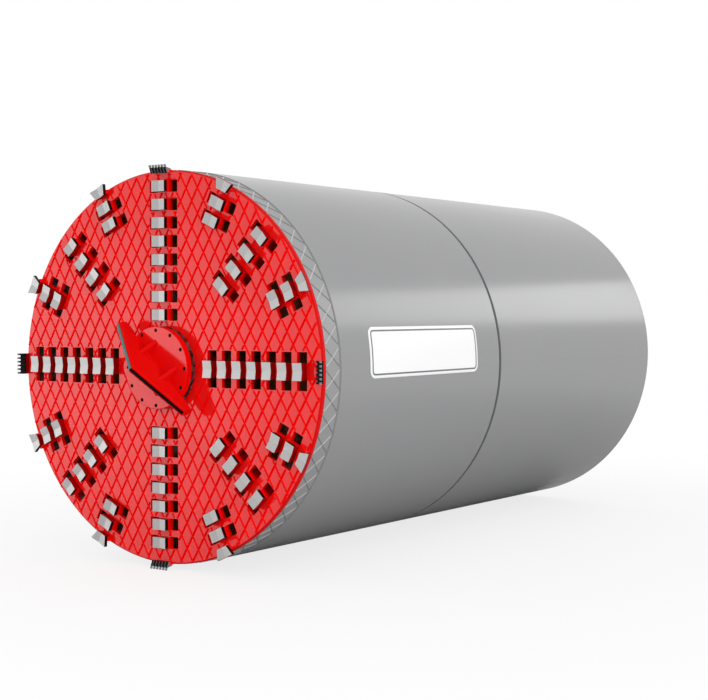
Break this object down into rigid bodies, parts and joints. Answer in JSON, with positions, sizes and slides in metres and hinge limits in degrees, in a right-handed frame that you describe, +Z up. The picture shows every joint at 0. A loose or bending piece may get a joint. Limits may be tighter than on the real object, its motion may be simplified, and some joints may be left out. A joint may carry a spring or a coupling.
{
  "type": "slurry pipe-jacking machine",
  "caption": "Slurry microtunnelling machine: a slotted red cutterhead with bits, gauge cutters and a fishtail blade on a steerable two-section cylindrical shield.",
  "frame": {"origin": "on the machine's axis, in the plane of the thrust face that the first jacking pipe bears on", "axes": "+Y along the machine's axis from the cutter face to the tail, +Z up, +X to the right seen from the front"},
  "size_m": [2.471, 4.785, 2.471],
  "materials": {
    "red_paint": "satin, slightly dusty",
    "bit_steel": "cast and ground, dull",
    "black_steel": "blackened, rough",
    "shield_grey": "satin",
    "inner_grey": "satin",
    "drive_paint": "satin",
    "machined_steel": "machined, oiled",
    "rod_chrome": "polished",
    "line_paint": "satin",
    "deck_steel": "worn",
    "tank_paint": "satin",
    "cabinet_paint": "powder coat",
    "target_panel": "matt"
  },
  "bodies": {
    "rear_section": {"rear_shell": "shield_grey", "thrust_ring": "inner_grey", "steering_frame": "inner_grey", "steering_barrels": "drive_paint", "feed_line_rear": "line_paint", "discharge_line_rear": "line_paint", "line_saddles": "inner_grey", "deck": "deck_steel", "oil_tank": "tank_paint", "pump_motor": "drive_paint", "control_cabinet": "cabinet_paint", "laser_target": "target_panel"},
    "seal": {"seal_ring": "machined_steel"},
    "front_section": {"front_shell": "shield_grey", "bulkhead": "inner_grey", "crusher_cone": "inner_grey", "bearing_housing": "inner_grey", "gear_case": "drive_paint", "drive_motors": "drive_paint", "steering_sleeve": "inner_grey", "feed_line_front": "line_paint", "discharge_line_front": "line_paint", "steering_lugs": "inner_grey"},
    "cutterhead": {"face_plate": "red_paint", "head_skirt": "red_paint", "head_spider": "red_paint", "drive_shaft": "machined_steel", "center_flange": "red_paint", "fishtail_blade": "red_paint", "blade_edges": "bit_steel", "bits_up": "bit_steel", "bits_left": "bit_steel", "bits_down": "bit_steel", "bits_right": "bit_steel", "bits_upper_right": "bit_steel", "bits_upper_left": "bit_steel", "bits_lower_left": "bit_steel", "bits_lower_right": "bit_steel", "bits_rim": "bit_steel", "gauge_cutters": "bit_steel", "overcutters": "black_steel"},
    "rod_top": {"steering_rod_top": "rod_chrome"},
    "rod_left": {"steering_rod_left": "rod_chrome"},
    "rod_bottom": {"steering_rod_bottom": "rod_chrome"},
    "rod_right": {"steering_rod_right": "rod_chrome"}
  },
  "joints": [
    {"name": "steer_pitch", "type": "hinge", "parent": "rear_section", "child": "seal", "pos_m": [0, -2.251, 0], "axis": [1, 0, 0], "range_deg": [-0.8, 0.8]},
    {"name": "steer_yaw", "type": "hinge", "parent": "seal", "child": "front_section", "pos_m": [0, -2.251, 0], "axis": [0, 0, 1], "range_deg": [-0.8, 0.8]},
    {"name": "head_spin", "type": "hinge", "parent": "front_section", "child": "cutterhead", "pos_m": [0, -4, 0], "axis": [0, 1, 0], "continuous": true},
    {"name": "rod_top_slide", "type": "slide", "parent": "rear_section", "child": "rod_top", "axis": [0, -1, 0], "range_m": [-0.015, 0.015]},
    {"name": "rod_bottom_slide", "type": "slide", "parent": "rear_section", "child": "rod_bottom", "axis": [0, -1, 0], "range_m": [-0.015, 0.015]},
    {"name": "rod_right_slide", "type": "slide", "parent": "rear_section", "child": "rod_right", "axis": [0, -1, 0], "range_m": [-0.015, 0.015]},
    {"name": "rod_left_slide", "type": "slide", "parent": "rear_section", "child": "rod_left", "axis": [0, -1, 0], "range_m": [-0.015, 0.015]}
  ],
  "couplings": [
    {"joint": "rod_top_slide", "follows": "steer_pitch", "m_per_rad": 1.02},
    {"joint": "rod_bottom_slide", "follows": "steer_pitch", "m_per_rad": -1.02},
    {"joint": "rod_right_slide", "follows": "steer_yaw", "m_per_rad": -1.02},
    {"joint": "rod_left_slide", "follows": "steer_yaw", "m_per_rad": 1.02}
  ]
}
